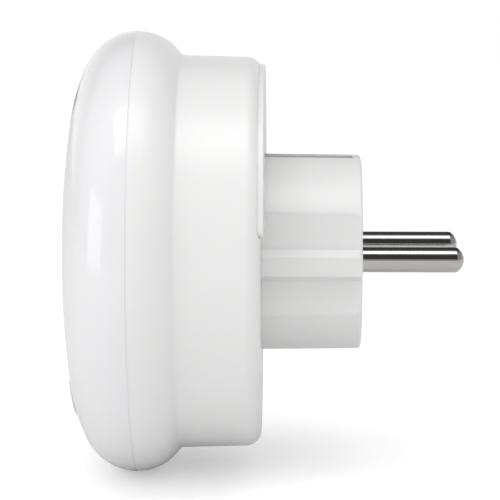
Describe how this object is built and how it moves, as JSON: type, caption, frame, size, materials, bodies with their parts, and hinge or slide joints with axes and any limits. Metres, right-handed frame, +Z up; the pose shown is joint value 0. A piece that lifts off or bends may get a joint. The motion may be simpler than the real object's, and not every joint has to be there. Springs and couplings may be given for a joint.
{
  "type": "plug-in power meter",
  "caption": "Round plug-in power meter: earthed wall plug at the back, pass-through socket, display window and push buttons in its domed front.",
  "frame": {"origin": "middle of the plug's nose face", "axes": "+X along the pins into the wall socket, +Z up with the display above the socket, +Y to the neutral pin"},
  "size_m": [0.0738, 0.0834, 0.0834],
  "materials": {
    "cover_white": "high-gloss ABS",
    "housing_white": "soft-gloss ABS",
    "plug_white": "satin",
    "socket_white": "soft gloss",
    "shutter_grey": "as moulded",
    "carrier_grey": "as moulded",
    "button_grey": "fine texture",
    "clear_window": "clear polycarbonate",
    "display_glass": "polarised",
    "connector_rubber": "elastomer",
    "nickel": "bright nickel plate",
    "brass": "bright",
    "spring_steel": "bright",
    "screw_steel": "zinc plated",
    "cell_steel": "bright",
    "board_green": "solder mask",
    "dark_plastic": "moulded epoxy",
    "capacitor_yellow": "moulded box",
    "can_black": "sleeved can",
    "varistor_blue": "dipped epoxy",
    "fuse_brown": "moulded",
    "shunt_metal": "bare",
    "crystal_metal": "drawn can",
    "resistor_beige": "coated"
  },
  "bodies": {
    "housing": {"front_cover": "cover_white", "housing_shell": "housing_white", "case_screws": "screw_steel", "carrier_screws": "screw_steel", "board_screws": "screw_steel", "plug_body": "plug_white", "line_pin": "nickel", "neutral_pin": "nickel", "earth_clip_top": "nickel", "earth_clip_bottom": "nickel", "earth_bridge": "brass", "socket_well": "socket_white", "shutter_spring": "spring_steel", "contact_carrier": "carrier_grey", "line_contact": "brass", "neutral_contact": "brass", "line_in_strap": "brass", "line_out_strap": "brass", "neutral_strap": "brass", "main_board": "board_green", "display_window": "clear_window", "lcd_glass": "display_glass", "lcd_frame": "carrier_grey", "lcd_connectors": "connector_rubber", "switch_bodies": "dark_plastic", "dropper_capacitor": "capacitor_yellow", "smoothing_capacitor": "can_black", "varistor": "varistor_blue", "fuse": "fuse_brown", "current_shunt": "shunt_metal", "metering_chip": "dark_plastic", "controller_chip": "dark_plastic", "crystal": "crystal_metal", "resistors": "resistor_beige", "button_cells": "cell_steel", "battery_springs": "spring_steel"},
    "mode_button": {"mode_button": "button_grey", "mode_plunger": "dark_plastic"},
    "up_button": {"up_button": "button_grey", "up_plunger": "dark_plastic"},
    "down_button": {"down_button": "button_grey", "down_plunger": "dark_plastic"},
    "battery_cover": {"battery_cover": "housing_white", "cover_screws": "screw_steel", "battery_bridge": "spring_steel"},
    "socket_shutter": {"socket_shutter": "shutter_grey"}
  },
  "joints": [
    {"name": "mode_press", "type": "slide", "parent": "housing", "child": "mode_button", "axis": [1, 0, 0], "range_m": [0, 0.0005], "stiffness_N_per_m": 900, "springref_m": -0.0012},
    {"name": "up_press", "type": "slide", "parent": "housing", "child": "up_button", "axis": [1, 0, 0], "range_m": [0, 0.0005], "stiffness_N_per_m": 900, "springref_m": -0.0012},
    {"name": "down_press", "type": "slide", "parent": "housing", "child": "down_button", "axis": [1, 0, 0], "range_m": [0, 0.0005], "stiffness_N_per_m": 900, "springref_m": -0.0012},
    {"name": "shutter_slide", "type": "slide", "parent": "housing", "child": "socket_shutter", "axis": [0, 0, -1], "range_m": [0, 0.0055], "stiffness_N_per_m": 80, "springref_m": -0.004, "deforming": ["shutter_spring"]},
    {"name": "battery_cover_slide", "type": "slide", "parent": "housing", "child": "battery_cover", "axis": [1, 0, 0], "range_m": [0, 0.01]}
  ]
}
